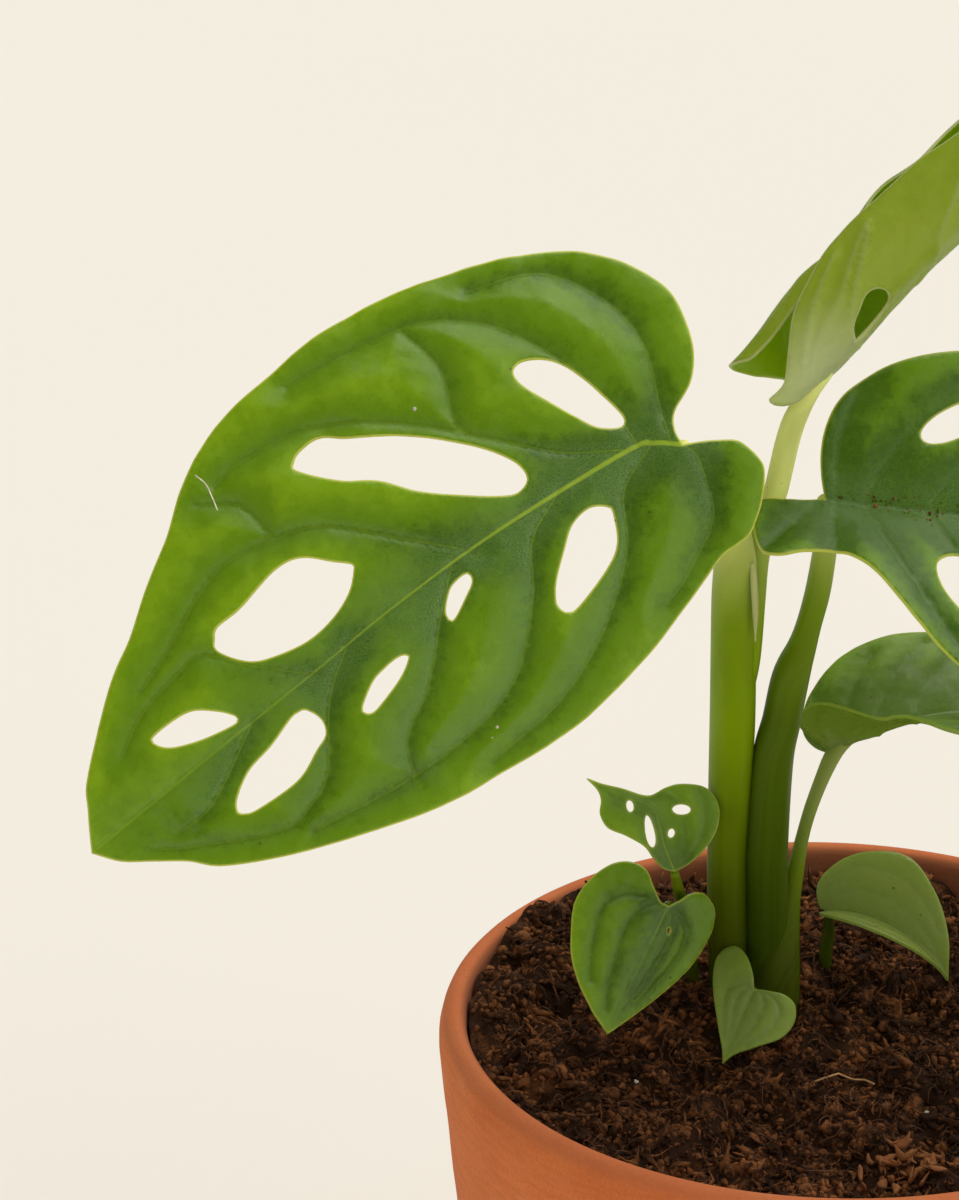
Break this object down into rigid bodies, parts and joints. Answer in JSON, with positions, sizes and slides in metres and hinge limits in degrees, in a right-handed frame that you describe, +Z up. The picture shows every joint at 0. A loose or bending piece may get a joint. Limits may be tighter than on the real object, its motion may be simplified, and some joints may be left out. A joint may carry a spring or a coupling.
{
  "type": "potted monstera adansonii",
  "caption": "Young monstera adansonii with holed leaves on leaning stalks, rooted in dark potting soil in a plain tapered terracotta pot",
  "frame": {"origin": "centre of the pot's flat base", "axes": "+Z up along the pot's axis; the large leaf points to -X and the right-hand leaf to +X; the side seen in the picture faces -Y"},
  "size_m": [0.2204, 0.13, 0.2874],
  "materials": {
    "terracotta": "unglazed and matte, with a faint pale bloom",
    "soil": "moist, crumbly and fibrous",
    "leaf": "waxy and slightly glossy",
    "young_leaf": "paler and softer, with a satin underside",
    "stalk": "smooth and slightly glossy"
  },
  "bodies": {
    "root": {"pot": "terracotta", "soil": "soil", "main_stalks": "stalk", "seedling_stalks": "stalk", "low_stalk": "stalk", "foot_stalk": "stalk", "leaf_left": "leaf", "leaf_right": "leaf", "leaf_young": "young_leaf", "leaf_middle": "leaf", "leaf_low": "leaf", "leaf_foot": "leaf", "leaf_heart": "leaf", "leaf_curled": "leaf"}
  },
  "joints": []
}
